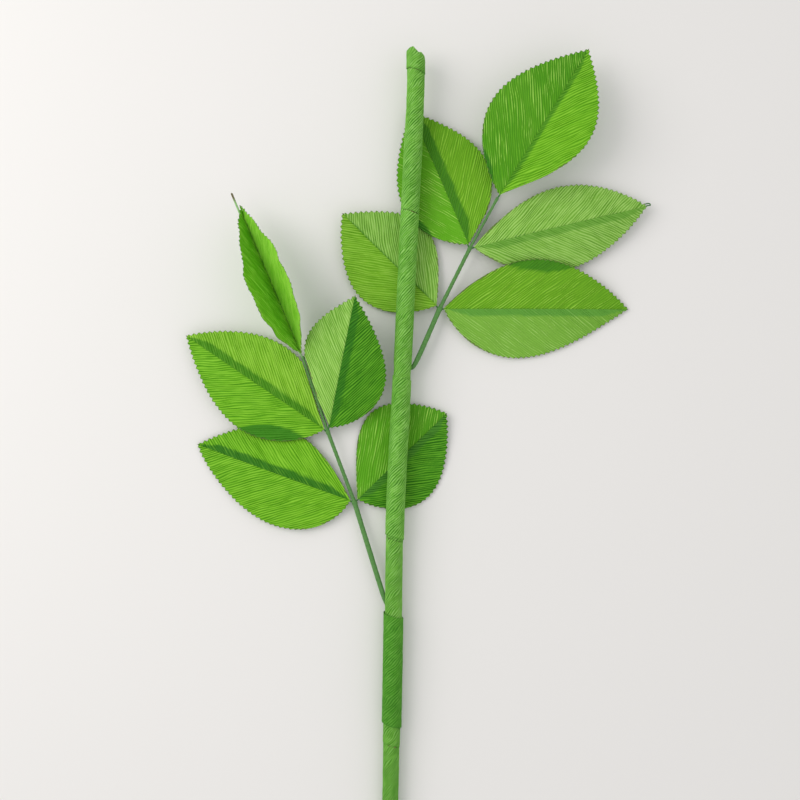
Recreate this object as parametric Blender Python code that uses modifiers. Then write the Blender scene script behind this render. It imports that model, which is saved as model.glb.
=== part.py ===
"""Crepe paper flower stem: a wrapped wooden stem carrying two wired sprigs of five leaflets.

The stem lies on the floor as it comes to rest. Its foot touches the floor, and the leaflets
under it hold its upper part a little higher. Looking straight down shows the front of it.

Frame: +Y runs from the foot to the top, +X points to the right of someone looking down, +Z
is up, and the origin is on the floor at the centre of the footprint. Lengths are written in
millimetres and angles in degrees, and MM turns a length into metres.
"""
import math
from collections import namedtuple

import bmesh
import bpy
from mathutils import Vector

MM = 0.001

# ---- driving dimensions: the stem ----
STEM_LENGTH = 1000.0
CORE_RADIUS = 7.0
CORE_END_GAP = 8.0
WRAP_INNER = 7.4
WRAP_OUTER = 8.0
BINDING_INNER = 8.35
BINDING_OUTER = 8.95
WIRE_BULGE = 1.9
LEVEL_LENGTH = 150.0
STEM_RISE = 16.0
RISE_POWER = 1.2
SEAM_SLANT = 0.3
SEAM_GAP = 0.3
STEM_SIDES = 16
RING_SPACING = 60.0
# sideways sway of the stem's axis, as (distance from the foot, sway to the right)
STEM_SWAY = [(0, -3.0), (150, -1.6), (256, -0.6), (400, 2.0), (530, 4.0), (660, 10.4),
             (780, 16.0), (900, 22.0), (960, 24.6), (1000, 24.6)]
# the outside of each wrap of crepe, as (distance from the foot, radius)
STEM_WRAPS = {
    "stem_wrap_foot": [(4, WRAP_OUTER), (304, WRAP_OUTER)],
    "stem_wrap_lower": [(304 + SEAM_GAP, WRAP_OUTER), (510, WRAP_OUTER)],
    "stem_wrap_middle": [(510 + SEAM_GAP, WRAP_OUTER), (680, WRAP_OUTER), (686, 8.6), (837, 8.6)],
    "stem_wrap_upper": [(837 + SEAM_GAP, 8.7), (900, 8.7), (940, 8.2), (976, 8.2)],
}
LEFT_BINDING = (324, 434)
RIGHT_BINDING = (513, 672)
CAP_START = 976 + SEAM_GAP
CAP_SIDE = [(CAP_START, 8.9), (990, 9.0), (995, 8.4), (998.5, 6.2), (STEM_LENGTH, 3.2)]
CAP_THICKNESS = 3.5

# ---- driving dimensions: the sprigs ----
WIRE_RADIUS = 0.65
TAPE_STOP = 3.0
TAPE_START = 6.0
TAPE_THICKNESS = 0.25
PAPER = 0.5
PLY_OFFSET = 0.4
SEAM_FLAP = 7.0
SEAM_START = 1.2
TOOTH_PITCH = 5.3
TOOTH_DEPTH = 1.7
PETIOLE = 4.0
LEAF_LIFT = 1.5
WIRE_BEHIND = -1.75
WIRE_IN_FOLD = 3.9
WIRE_STOP = -4.0
EYELET_REACH = 6.0
EYELET_WIDTH = 2.4
BEND_LINES = 6
GAP = 0.3

# ---- colours, linear ----
PALE_WOOD = (0.55, 0.36, 0.19)
STEM_GREEN = (0.11, 0.32, 0.06)
BINDING_GREEN = (0.06, 0.24, 0.04)
LEAF_GREEN = (0.14, 0.40, 0.03)
WIRE_GREEN = (0.10, 0.25, 0.07)
TAPE_GREEN = (0.12, 0.28, 0.08)

Half = namedtuple("Half", "width peak fullness fold edge_fold")
Leaflet = namedtuple("Leaflet", "name node heading length pitch left right wire_level wire_end")
Sprig = namedtuple("Sprig", "name nodes tapes tail_angle tail_end leaflets")

LEFT_SPRIG = Sprig(
    "left_sprig",
    nodes=[(-9.5, 459, 10.5), (-37, 547, 6), (-63.5, 618, 11), (-88, 692.5, 16)],
    tapes=[2.8, 2.25, 1.7], tail_angle=222, tail_end=336,
    leaflets=[
        Leaflet("lower_left", 1, 160, 166, (4.2, -8.1),
                Half(51, 0.40, 0.76, -4, -6), Half(47, 0.51, 0.9, -3, -4), WIRE_BEHIND, WIRE_STOP),
        Leaflet("lower_right", 1, 44, 126, (-8.2, 6.9),
                Half(54, 0.56, 0.8, 0, 0), Half(49, 0.43, 0.85, -1.5, -1), WIRE_BEHIND, WIRE_STOP),
        Leaflet("upper_left", 2, 146, 169, (6, -8),
                Half(48, 0.43, 0.88, -6, -5), Half(48, 0.47, 0.82, -6, -5), WIRE_BEHIND, WIRE_STOP),
        Leaflet("upper_right", 2, 78, 138, (24, 4),
                Half(43.5, 0.57, 1.0, -16, -26), Half(49, 0.39, 0.88, -12, -20), WIRE_BEHIND, WIRE_STOP),
        Leaflet("tip", 3, 112.6, 160, (4, 0),
                Half(48, 0.42, 0.95, 65, 68), Half(49, 0.46, 0.95, 64, 67), WIRE_IN_FOLD, 14.0),
    ])

RIGHT_SPRIG = Sprig(
    "right_sprig",
    nodes=[(25.5, 689, 14), (49, 742, 8.5), (79, 802, 13), (106, 851, 17)],
    tapes=[2.8, 2.25, 1.7], tail_angle=318, tail_end=520,
    leaflets=[
        Leaflet("lower_right", 1, 0, 188, (2.9, -7.9),
                Half(50, 0.50, 0.88, 10, 4), Half(51, 0.40, 0.95, -9, -10), WIRE_BEHIND, WIRE_STOP),
        Leaflet("lower_left", 1, 136, 134, (-12, 18),
                Half(48, 0.46, 0.85, 0, 1), Half(50, 0.50, 0.95, 0, 0), WIRE_BEHIND, WIRE_STOP),
        Leaflet("upper_right", 2, 13.5, 180, (8, -10),
                Half(43, 0.54, 0.78, -16, -20), Half(46, 0.48, 0.84, -16, -20), WIRE_BEHIND,
                EYELET_REACH),
        Leaflet("upper_left", 2, 113, 148, (-3, -4),
                Half(46, 0.43, 0.88, -6.5, -2.5), Half(51, 0.46, 0.92, 0, 0), WIRE_BEHIND, WIRE_STOP),
        Leaflet("tip", 3, 58.5, 167, (10, 0),
                Half(56, 0.44, 0.95, 12, 8), Half(50, 0.53, 0.96, 12, 18), WIRE_BEHIND, WIRE_STOP),
    ])


# ---- scene, materials and objects ----
def clear_scene():
    for old in list(bpy.data.objects):
        bpy.data.objects.remove(old, do_unlink=True)


def new_collection(name):
    group = bpy.data.collections.new(name)
    bpy.context.scene.collection.children.link(group)
    return group


def new_material(name, colour, roughness):
    """A plain Principled material; colour is linear."""
    made = bpy.data.materials.new(name)
    made.use_nodes = True
    shader = made.node_tree.nodes["Principled BSDF"]
    shader.inputs["Base Color"].default_value = (*colour, 1.0)
    shader.inputs["Roughness"].default_value = roughness
    shader.inputs["Metallic"].default_value = 0.0
    made.diffuse_color = (*colour, 1.0)
    return made


def add_object(name, data, made, group, parent):
    """Link data into group as one named object that uses the material made."""
    data.materials.append(made)
    piece = bpy.data.objects.new(name, data)
    group.objects.link(piece)
    piece.parent = parent
    return piece


def mesh_from(bm, name):
    bmesh.ops.recalc_face_normals(bm, faces=bm.faces)
    data = bpy.data.meshes.new(name)
    bm.to_mesh(data)
    bm.free()
    return data


def shade(data, angle=40):
    data.shade_smooth()
    data.set_sharp_from_angle(angle=math.radians(angle))


# ---- curves ----
def smooth_path(points, per_span):
    """Points on a Catmull-Rom curve through the given points, per_span to each span."""
    knots = [Vector(p) for p in points]
    ends = [2 * knots[0] - knots[1]] + knots + [2 * knots[-1] - knots[-2]]
    path = []
    for a, b, c, d in zip(ends, ends[1:], ends[2:], ends[3:]):
        for step in range(per_span):
            t = step / per_span
            path.append(0.5 * (2 * b + (c - a) * t + (2 * a - 5 * b + 4 * c - d) * t * t
                               + (3 * b - a - 3 * c + d) * t ** 3))
    return path + [knots[-1]]


def rounded_route(points, bend):
    """The polyline through points, with each sharp corner rounded over a length of bend."""
    route = [points[0]]
    for before, corner, after in zip(points, points[1:], points[2:]):
        back, ahead = before - corner, after - corner
        if back.angle(-ahead) < math.radians(8):
            route.append(corner)
            continue
        first = corner + back.normalized() * min(bend, back.length * 0.45)
        last = corner + ahead.normalized() * min(bend, ahead.length * 0.45)
        for t in (0.0, 0.33, 0.67, 1.0):
            route.append(first.lerp(corner, t).lerp(corner.lerp(last, t), t))
    return route + [points[-1]]


def tube_curve(name, points, radius, capped):
    """A round tube as a bevelled polyline."""
    curve = bpy.data.curves.new(name, "CURVE")
    curve.dimensions = "3D"
    curve.bevel_depth = radius * MM
    curve.bevel_resolution = 1
    curve.use_fill_caps = capped
    line = curve.splines.new("POLY")
    line.points.add(len(points) - 1)
    for place, point in zip(line.points, points):
        place.co = (point.x * MM, point.y * MM, point.z * MM, 1.0)
    return curve


# ---- the stem ----
def stem_axis(y):
    """Where the stem's axis is at a distance y from its foot, as (x, z)."""
    sway = smooth_path([(d, s, 0) for d, s in STEM_SWAY], 12)
    for a, b in zip(sway, sway[1:]):
        if y <= b.x:
            break
    x = a.y + (b.y - a.y) * (y - a.x) / (b.x - a.x)
    lift = max(0.0, (y - LEVEL_LENGTH) / (STEM_LENGTH - LEVEL_LENGTH))
    return x, WRAP_OUTER + STEM_RISE * lift ** RISE_POWER


def swell(angle, centre, height):
    """How far a binding stands out where it passes over a wire at the angle centre."""
    half_angle = 38.0
    off = (angle - centre + 180.0) % 360.0 - 180.0
    if abs(off) > half_angle:
        return 0.0
    return height * math.cos(math.radians(90.0 * off / half_angle)) ** 2


def turned_on_stem(name, profile, slanted=True, over_wire=None):
    """Spin a profile of (distance from foot, radius) points round the stem's axis.

    slanted tilts it as the paper was wound, and over_wire is the angle of a wire beneath."""
    bm = bmesh.new()
    corners = [bm.verts.new((r, y, 0.0)) for y, r in profile]
    edges = [bm.edges.new(pair) for pair in zip(corners, corners[1:])]
    if profile[0][1] > 0:
        edges.append(bm.edges.new((corners[-1], corners[0])))
    bmesh.ops.spin(bm, geom=corners + edges, axis=(0, 1, 0), cent=(0, 0, 0),
                   angle=math.tau, steps=STEM_SIDES, use_merge=True)
    bmesh.ops.remove_doubles(bm, verts=bm.verts, dist=1e-4)
    for vert in bm.verts:
        x, y, z = vert.co
        radius = math.hypot(x, z)
        if over_wire is not None and radius > 0:
            angle = math.degrees(math.atan2(z, x))
            out = 1.0 + swell(angle, over_wire, WIRE_BULGE) / radius
            x, z = x * out, z * out
        if slanted:
            y -= SEAM_SLANT * x
        axis_x, axis_z = stem_axis(y)
        vert.co = Vector((axis_x + x, y, axis_z + z)) * MM
    data = mesh_from(bm, name)
    shade(data)
    return data


def with_rings(rings):
    """The (distance, radius) points rings, with a ring more at each RING_SPACING."""
    full = []
    for (y, radius), (next_y, next_radius) in zip(rings, rings[1:]):
        full.append((y, radius))
        step = RING_SPACING * math.floor(y / RING_SPACING + 1)
        while step < next_y - 2:
            if step > y + 2:
                full.append((step, radius + (next_radius - radius) * (step - y) / (next_y - y)))
            step += RING_SPACING
    return full + [rings[-1]]


def sleeve_profile(rings, inner):
    """The closed section of a sleeve whose outside is the (distance, radius) points rings."""
    outside = with_rings(rings)
    return outside + [(y, inner) for y, _ in reversed(outside)]


def build_stem(group, parent):
    wood = new_material("pale_wood", PALE_WOOD, 0.6)
    paper = new_material("stem_crepe", STEM_GREEN, 0.85)
    bound = new_material("binding_crepe", BINDING_GREEN, 0.85)

    core_top = STEM_LENGTH - CORE_END_GAP
    side = with_rings([(0, CORE_RADIUS), (core_top, CORE_RADIUS)])
    core = turned_on_stem("stem_core", [(0, 0.0)] + side + [(core_top, 0.0)], slanted=False)
    add_object("stem_core", core, wood, group, parent)

    for name, rings in STEM_WRAPS.items():
        data = turned_on_stem(name, sleeve_profile(rings, WRAP_INNER))
        add_object(name, data, paper, group, parent)

    for sprig, (low, high) in ((LEFT_SPRIG, LEFT_BINDING), (RIGHT_SPRIG, RIGHT_BINDING)):
        name = sprig.name + "_binding"
        outline = sleeve_profile([(low, BINDING_OUTER), (high, BINDING_OUTER)], BINDING_INNER)
        data = turned_on_stem(name, outline, over_wire=sprig.tail_angle)
        add_object(name, data, bound, group, parent)

    ceiling = STEM_LENGTH - CAP_THICKNESS
    dome = [(CAP_START, WRAP_INNER)] + CAP_SIDE
    dome += [(STEM_LENGTH, 0.0), (ceiling, 0.0), (ceiling, WRAP_INNER)]
    add_object("stem_cap", turned_on_stem("stem_cap", dome), paper, group, parent)


# ---- the shape of a leaflet ----
def arc(start, end, distance, span):
    """Run and rise at a distance along an arc that turns evenly from angle start to end."""
    first = math.radians(start)
    turn = math.radians(end - start) / span
    if abs(turn) < 1e-9:
        return distance * math.cos(first), distance * math.sin(first)
    last = first + turn * distance
    return (math.sin(last) - math.sin(first)) / turn, (math.cos(first) - math.cos(last)) / turn


def leaf_base(sprig, leaf):
    """Where the leaflet's paper starts, just clear of the stalk."""
    turn = math.radians(leaf.heading)
    return Vector(sprig.nodes[leaf.node]) + Vector(
        (PETIOLE * math.cos(turn), PETIOLE * math.sin(turn), LEAF_LIFT))


def on_leaf(sprig, leaf, along, across, level):
    """A point of the leaflet: along its midrib, across to its left, level above the paper."""
    pitch = leaf.pitch[0] + (leaf.pitch[1] - leaf.pitch[0]) * along / leaf.length
    run, rise = arc(*leaf.pitch, along, leaf.length)
    side = 1.0 if across > 0 else -1.0
    half = leaf.left if across > 0 else leaf.right
    out, up = arc(half.fold, half.edge_fold, abs(across), half.width)
    tilt = half.fold + (half.edge_fold - half.fold) * abs(across) / half.width
    if across == 0:
        tilt = 0.0
    out = side * (out - level * math.sin(math.radians(tilt)))
    up = up + level * math.cos(math.radians(tilt))
    run -= up * math.sin(math.radians(pitch))
    rise += up * math.cos(math.radians(pitch))
    heading = math.radians(leaf.heading)
    ahead = Vector((math.cos(heading), math.sin(heading), 0))
    left = Vector((-math.sin(heading), math.cos(heading), 0))
    return leaf_base(sprig, leaf) + ahead * run + left * out + Vector((0, 0, rise))


def half_width(sprig, leaf, side, along):
    """Width of one half at a distance along the midrib, trimmed beside the stalk."""
    half = leaf.left if side > 0 else leaf.right
    share = min(max(along / leaf.length, 0.0), 1.0)
    bend = math.log(0.5) / math.log(half.peak)
    width = half.width * max(math.sin(math.pi * share ** bend), 0.0) ** half.fullness
    if leaf.node == len(sprig.nodes) - 1:
        return width
    stalk = Vector(sprig.nodes[leaf.node + 1]) - Vector(sprig.nodes[leaf.node])
    between = math.atan2(stalk.y, stalk.x) - math.radians(leaf.heading)
    if between * side <= 0:
        return width
    between = abs(between)
    clearance = sprig.tapes[leaf.node] + 2 * GAP
    limit = ((along + PETIOLE) * math.sin(between) - clearance) / math.cos(between)
    return min(width, max(limit, 0.3 * along))


def pinked_edge(sprig, leaf, side):
    """The toothed outer edge of one half, from base to tip, as (along, across) points."""
    samples = 240
    line = []
    for step in range(samples + 1):
        along = leaf.length * step / samples
        line.append(Vector((along, half_width(sprig, leaf, side, along))))
    travelled = [0.0]
    for a, b in zip(line, line[1:]):
        travelled.append(travelled[-1] + (b - a).length)
    teeth = round(travelled[-1] / TOOTH_PITCH)
    edge = []
    for count in range(1, 2 * teeth):
        target = travelled[-1] * count / (2 * teeth)
        spot = next(i for i, d in enumerate(travelled) if d >= target)
        a, b = line[spot - 1], line[spot]
        point = a.lerp(b, (target - travelled[spot - 1]) / (travelled[spot] - travelled[spot - 1]))
        if count % 2 == 0:
            heading = (b - a).normalized()
            point = point + Vector((heading.y, -heading.x)) * TOOTH_DEPTH
        edge.append((point.x, side * max(point.y, SEAM_START + 0.2)))
    return edge


def seam_flap(leaf):
    """The left half's inner edge, which runs on under the right half, from tip to base."""
    edge = []
    for share in (0.96, 0.86, 0.65, 0.45, 0.25, 0.12, 0.04):
        edge.append((share * leaf.length, -SEAM_FLAP * min(1.0, 7 * share, 7 * (1 - share))))
    return edge


def paper_half(sprig, leaf, side):
    """One crepe half of a leaflet: the right one lies over the left one's flap."""
    if side < 0:
        outline = [(2.0, -SEAM_START)] + pinked_edge(sprig, leaf, side)
        outline += [(leaf.length - 1.0, -SEAM_START)]
    else:
        outline = [(0.0, 0.0)] + pinked_edge(sprig, leaf, side) + [(leaf.length, 0.0)]
        outline += seam_flap(leaf)
    bm = bmesh.new()
    bm.faces.new([bm.verts.new((x, y, 0)) for x, y in outline])
    cuts = [((leaf.length * (i + 1) / (BEND_LINES + 1), 0, 0), (1, 0, 0))
            for i in range(BEND_LINES)]
    half = leaf.left if side > 0 else leaf.right
    cuts.append(((0, side * half.width * 0.5, 0), (0, 1, 0)))
    cuts.append(((0, -SEAM_FLAP, 0), (0, 1, 0)))
    if side > 0:
        cuts.append(((0, 0, 0), (0, 1, 0)))
    for place, normal in cuts:
        whole = bm.verts[:] + bm.edges[:] + bm.faces[:]
        bmesh.ops.bisect_plane(bm, geom=whole, plane_co=place, plane_no=normal, dist=1e-4)
    bmesh.ops.remove_doubles(bm, verts=bm.verts, dist=0.02)
    bmesh.ops.triangulate(bm, faces=bm.faces)
    for vert in bm.verts:
        across = 0.0 if abs(vert.co.y) < 1e-3 else vert.co.y
        vert.co = on_leaf(sprig, leaf, vert.co.x, across, -side * PLY_OFFSET) * MM
    name = "%s_%s_leaf_%s_half" % (sprig.name, leaf.name, "upper" if side < 0 else "lower")
    data = mesh_from(bm, name)
    if sum(face.normal.z for face in data.polygons) < 0:
        data.flip_normals()
    data.shade_smooth()
    return name, data


# ---- wires and tapes ----
BUNDLE = [
    {"lower_left": (1.4, -0.6), "lower_right": (-1.4, -0.6), "upper_left": (0.85, 1.1),
     "upper_right": (-0.85, 1.1), "tip": (0.0, -1.6)},
    {"upper_left": (0.85, 0.5), "upper_right": (-0.85, 0.5), "tip": (0.0, -0.95)},
    {"tip": (0.0, 0.0)},
]


def stalk_frame(sprig, span):
    """Start, end, direction and left side of one span of a sprig's stalk."""
    start, end = Vector(sprig.nodes[span]), Vector(sprig.nodes[span + 1])
    ahead = (end - start).normalized()
    left = Vector((-ahead.y, ahead.x, 0)).normalized()
    return start, end, ahead, left


def stalk_points(sprig, leaf):
    """The route of a leaflet's wire inside the taped stalk, from the root to its node."""
    points = []
    for span in range(leaf.node):
        start, end, ahead, left = stalk_frame(sprig, span)
        side, up = BUNDLE[span][leaf.name]
        shift = left * side + ahead.cross(left) * up
        first = TAPE_START - 1.0
        if span == 0:
            first = -3.0 if leaf.name == "tip" else 1.0
        last = (end - start).length - TAPE_STOP + 1.0
        points += [start + ahead * first + shift, start + ahead * last + shift]
    return points


def tail_points(sprig):
    """The main wire's run beside the stem, under the sprig's binding, from its end up."""
    top = sprig.nodes[0][1] - 12
    angle = math.radians(sprig.tail_angle)
    radius = WRAP_OUTER + WIRE_RADIUS + 1.2 * GAP
    points = []
    for y, _ in with_rings([(sprig.tail_end, 0), (top, 0)]):
        x, z = stem_axis(y)
        points.append(Vector((x + radius * math.cos(angle), y, z + radius * math.sin(angle))))
    return points


def wire_points(sprig, leaf):
    """The whole route of a leaflet's wire."""
    points = stalk_points(sprig, leaf)
    if leaf.name == "tip":
        points = tail_points(sprig) + points
    points.append(on_leaf(sprig, leaf, -1.5, 0.0, leaf.wire_level))
    for count in range(BEND_LINES):
        along = leaf.length * (count + 1) / (BEND_LINES + 1)
        points.append(on_leaf(sprig, leaf, along, 0.0, leaf.wire_level))
    end = leaf.length + leaf.wire_end
    points.append(on_leaf(sprig, leaf, end, 0.0, leaf.wire_level))
    if leaf.wire_end == EYELET_REACH:
        turn = EYELET_WIDTH / 2
        for angle in (30, 60, 90, 120, 150, 180):
            ahead = turn * math.sin(math.radians(angle))
            aside = turn * (1 - math.cos(math.radians(angle)))
            points.append(on_leaf(sprig, leaf, end + ahead, aside, leaf.wire_level))
        points.append(on_leaf(sprig, leaf, leaf.length - 3.0, EYELET_WIDTH, leaf.wire_level))
    return points


def build_sprig(sprig, group, parent):
    crepe = new_material(sprig.name + "_leaf_crepe", LEAF_GREEN, 0.8)
    wrapped = new_material(sprig.name + "_wire_paper", WIRE_GREEN, 0.7)
    tape = new_material(sprig.name + "_tape", TAPE_GREEN, 0.8)
    for leaf in sprig.leaflets:
        for side in (1, -1):
            name, data = paper_half(sprig, leaf, side)
            piece = add_object(name, data, crepe, group, parent)
            wall = piece.modifiers.new("paper_thickness", "SOLIDIFY")
            wall.thickness = PAPER * MM
            wall.offset = 0.0
        name = "%s_%s_leaf_wire" % (sprig.name, leaf.name)
        route = rounded_route(wire_points(sprig, leaf), 4.0)
        add_object(name, tube_curve(name, route, WIRE_RADIUS, True), wrapped, group, parent)
    for span, radius in enumerate(sprig.tapes):
        start, end, ahead, _ = stalk_frame(sprig, span)
        low = start + ahead * (TAPE_START if span else 0.0)
        high = end - ahead * TAPE_STOP
        name = "%s_tape_%d" % (sprig.name, span + 1)
        route = [low, high]
        curve = tube_curve(name, route, radius, False)
        curve.bevel_resolution = 4
        tube = bpy.data.objects.new(name, curve)
        group.objects.link(tube)
        seen = tube.evaluated_get(bpy.context.evaluated_depsgraph_get())
        data = bpy.data.meshes.new_from_object(seen)
        bpy.data.objects.remove(tube)
        piece = add_object(name, data, tape, group, parent)
        wall = piece.modifiers.new("tape_thickness", "SOLIDIFY")
        wall.thickness = TAPE_THICKNESS * MM
        wall.offset = -1.0


def centre_on_floor(frame, group):
    """Move the frame so that the footprint's centre is at the origin."""
    seen = bpy.context.evaluated_depsgraph_get()
    corners = []
    for piece in group.objects:
        if piece.type == "EMPTY":
            continue
        solid = bpy.data.meshes.new_from_object(piece.evaluated_get(seen))
        corners += [piece.matrix_world @ vert.co for vert in solid.vertices]
        bpy.data.meshes.remove(solid)
    low = [min(corner[i] for corner in corners) for i in range(3)]
    high = [max(corner[i] for corner in corners) for i in range(3)]
    frame.location = (-(low[0] + high[0]) / 2, -(low[1] + high[1]) / 2, 0.0)
    print("lowest", [round(v / MM, 2) for v in low], "highest", [round(v / MM, 2) for v in high])


def main():
    clear_scene()
    group = new_collection("crepe_paper_flower_stem")
    frame = bpy.data.objects.new("frame", None)
    group.objects.link(frame)
    build_stem(group, frame)
    for sprig in (LEFT_SPRIG, RIGHT_SPRIG):
        build_sprig(sprig, group, frame)
    bpy.context.view_layer.update()
    centre_on_floor(frame, group)


main()
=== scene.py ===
# %% [markdown]
# # A crepe paper flower stem
# The real thing is a wooden rod wound with green crepe paper, and two side sprigs of wire
# that carry five paper leaflets each. A maker cuts every leaflet from two pieces of crepe,
# glues them along the middle with the wrinkles running up and outwards like the veins of a
# leaf, and trims the outer edge with pinking shears. This lesson makes each paper piece the
# same way: a flat grid stands for the sheet, its rows of points follow the wrinkles, and the
# sheet is then cut, wrinkled and bent by moving those points.

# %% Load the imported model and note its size
import math
from collections import namedtuple

import bpy
import numpy as np
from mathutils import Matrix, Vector


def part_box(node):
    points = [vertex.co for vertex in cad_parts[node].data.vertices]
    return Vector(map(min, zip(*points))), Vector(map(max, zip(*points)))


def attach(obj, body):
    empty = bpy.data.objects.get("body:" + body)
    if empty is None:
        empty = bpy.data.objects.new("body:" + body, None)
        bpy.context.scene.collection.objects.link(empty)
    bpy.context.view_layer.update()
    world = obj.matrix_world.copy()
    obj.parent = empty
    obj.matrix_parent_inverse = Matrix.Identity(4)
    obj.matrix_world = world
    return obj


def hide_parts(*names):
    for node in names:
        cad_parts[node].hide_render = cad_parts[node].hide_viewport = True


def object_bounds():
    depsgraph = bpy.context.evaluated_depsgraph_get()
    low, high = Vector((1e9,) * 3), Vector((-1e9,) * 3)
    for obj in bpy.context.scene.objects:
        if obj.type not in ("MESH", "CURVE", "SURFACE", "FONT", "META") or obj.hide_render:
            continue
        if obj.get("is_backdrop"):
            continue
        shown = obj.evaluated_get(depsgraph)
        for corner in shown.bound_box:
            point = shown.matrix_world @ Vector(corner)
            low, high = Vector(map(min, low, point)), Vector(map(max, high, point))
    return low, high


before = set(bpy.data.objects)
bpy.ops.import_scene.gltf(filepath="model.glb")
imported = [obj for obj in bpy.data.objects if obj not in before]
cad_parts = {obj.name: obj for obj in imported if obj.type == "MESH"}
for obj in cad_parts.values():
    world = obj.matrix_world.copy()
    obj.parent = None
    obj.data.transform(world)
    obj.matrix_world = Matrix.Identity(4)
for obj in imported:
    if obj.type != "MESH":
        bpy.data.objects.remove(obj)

cad_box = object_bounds()
print("the model has", len(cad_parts), "nodes and fills", cad_box)

# %% [markdown]
# ## One set of measures
# Everything below is in millimetres from the foot of the stem: x to the right, y up the
# stem, z towards the viewer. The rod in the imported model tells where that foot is, so one
# shift turns these measures into places in the model.

# %% Millimetres to places in the model
MM = 0.001
ROD_LEFT_AT_FOOT = -10.0
rod_low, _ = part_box("stem_core")
SHIFT = np.array([rod_low.x / MM - ROD_LEFT_AT_FOOT, rod_low.y / MM, 0.0])


def placed(points):
    """Places in the model, in metres, of points given in millimetres from the foot."""
    return (np.asarray(points, float) + SHIFT) * MM


print("shift in mm", SHIFT.round(2))

# %% [markdown]
# The sprigs are described leaflet by leaflet, as a maker would note them: how long each one
# is, which way it points, how it droops along its wire, and for each half how wide it is,
# where it is widest, how full its curve is and how steeply it is folded from the crease to
# its edge.

# %% The two sprigs
Half = namedtuple("Half", "width peak fullness fold edge_fold")
Leaflet = namedtuple("Leaflet", "name node heading length pitch left right")
Sprig = namedtuple("Sprig", "name nodes tapes tail_angle binding leaflets")

LEFT_SPRIG = Sprig(
    "left_sprig",
    nodes=[(-9.5, 459, 10.5), (-37, 547, 6), (-63.5, 618, 11), (-88, 692.5, 16)],
    tapes=[2.8, 2.25, 1.7], tail_angle=222, binding=(324, 434),
    leaflets=[
        Leaflet("lower_left", 1, 160, 166, (4.2, -8.1),
                Half(51, 0.40, 0.76, -4, -6), Half(47, 0.51, 0.9, -3, -4)),
        Leaflet("lower_right", 1, 44, 126, (-8.2, 6.9),
                Half(54, 0.56, 0.8, 0, 0), Half(49, 0.43, 0.85, -1.5, -1)),
        Leaflet("upper_left", 2, 146, 169, (6, -8),
                Half(48, 0.43, 0.88, -6, -5), Half(48, 0.47, 0.82, -6, -5)),
        Leaflet("upper_right", 2, 78, 138, (24, 4),
                Half(43.5, 0.57, 1.0, -16, -26), Half(49, 0.39, 0.88, -12, -20)),
        Leaflet("tip", 3, 112.6, 160, (4, 0),
                Half(48, 0.42, 0.95, 65, 68), Half(49, 0.46, 0.95, 64, 67)),
    ])

RIGHT_SPRIG = Sprig(
    "right_sprig",
    nodes=[(25.5, 689, 14), (49, 742, 8.5), (79, 802, 13), (106, 851, 17)],
    tapes=[2.8, 2.25, 1.7], tail_angle=318, binding=(513, 672),
    leaflets=[
        Leaflet("lower_right", 1, 0, 188, (2.9, -7.9),
                Half(50, 0.50, 0.88, 10, 4), Half(51, 0.40, 0.95, -9, -10)),
        Leaflet("lower_left", 1, 136, 134, (-12, 18),
                Half(48, 0.46, 0.85, 0, 1), Half(50, 0.50, 0.95, 0, 0)),
        Leaflet("upper_right", 2, 13.5, 180, (8, -10),
                Half(43, 0.54, 0.78, -16, -20), Half(46, 0.48, 0.84, -16, -20)),
        Leaflet("upper_left", 2, 113, 148, (-3, -4),
                Half(46, 0.43, 0.88, -6.5, -2.5), Half(51, 0.46, 0.92, 0, 0)),
        Leaflet("tip", 3, 58.5, 167, (10, 0),
                Half(56, 0.44, 0.95, 12, 8), Half(50, 0.53, 0.96, 12, 18)),
    ])
SPRIGS = (LEFT_SPRIG, RIGHT_SPRIG)
print("leaflets:", sum(len(sprig.leaflets) for sprig in SPRIGS))

# %% [markdown]
# ## How crepe wrinkles
# Crepe is tissue crimped into fine wrinkles that all run one way. A crest is round and the
# hollow beside it is narrow and sharp. An even wave would look like corduroy, so smooth noise
# stretched along the wrinkles makes them wander, another noise makes them swell and die out,
# and a finer one roughens them.

# %% Noise and wrinkles
NOISE_CELLS = 512
WANDER = 0.6
SWELLING = 0.4
ROUGHNESS = 0.16


def smooth_noise(seed, x, y, around=NOISE_CELLS):
    """Smooth noise from -1 to 1 with a new value at each whole x and y; x repeats after around."""
    table = np.random.default_rng(seed).uniform(-1.0, 1.0, (NOISE_CELLS, NOISE_CELLS))
    cell_x = np.floor(x).astype(int)
    cell_y = np.floor(y).astype(int)
    part_x = x - cell_x
    part_y = y - cell_y
    part_x = part_x * part_x * (3 - 2 * part_x)
    part_y = part_y * part_y * (3 - 2 * part_y)
    left, right = cell_x % around, (cell_x + 1) % around
    low, high = cell_y % NOISE_CELLS, (cell_y + 1) % NOISE_CELLS
    bottom = table[left, low] * (1 - part_x) + table[right, low] * part_x
    top = table[left, high] * (1 - part_x) + table[right, high] * part_x
    return bottom * (1 - part_y) + top * part_y


def crests(seed, across, along, pitch, run, around=NOISE_CELLS):
    """How high the crepe stands at each point, 0 to 1; pitch and run are in mm."""
    turns = across / pitch
    wander = smooth_noise(seed, turns / 3, along / run, around // 3)
    rib = np.abs(np.sin(math.pi * (turns + WANDER * wander)))
    swelling = smooth_noise(seed + 1, turns, 1.6 * along / run, around)
    rough = smooth_noise(seed + 2, 2 * turns, 3 * along / run, 2 * around)
    depth = 0.8 + SWELLING * swelling
    return np.clip(1 - (1 - rib) * depth + ROUGHNESS * rough - ROUGHNESS / 2, 0, 1)


test_crests = crests(1, np.linspace(0, 50, 500), np.zeros(500), 2.3, 16.0)
print("share of the paper that is hollow:", round(float((test_crests < 0.4).mean()), 2))

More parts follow.
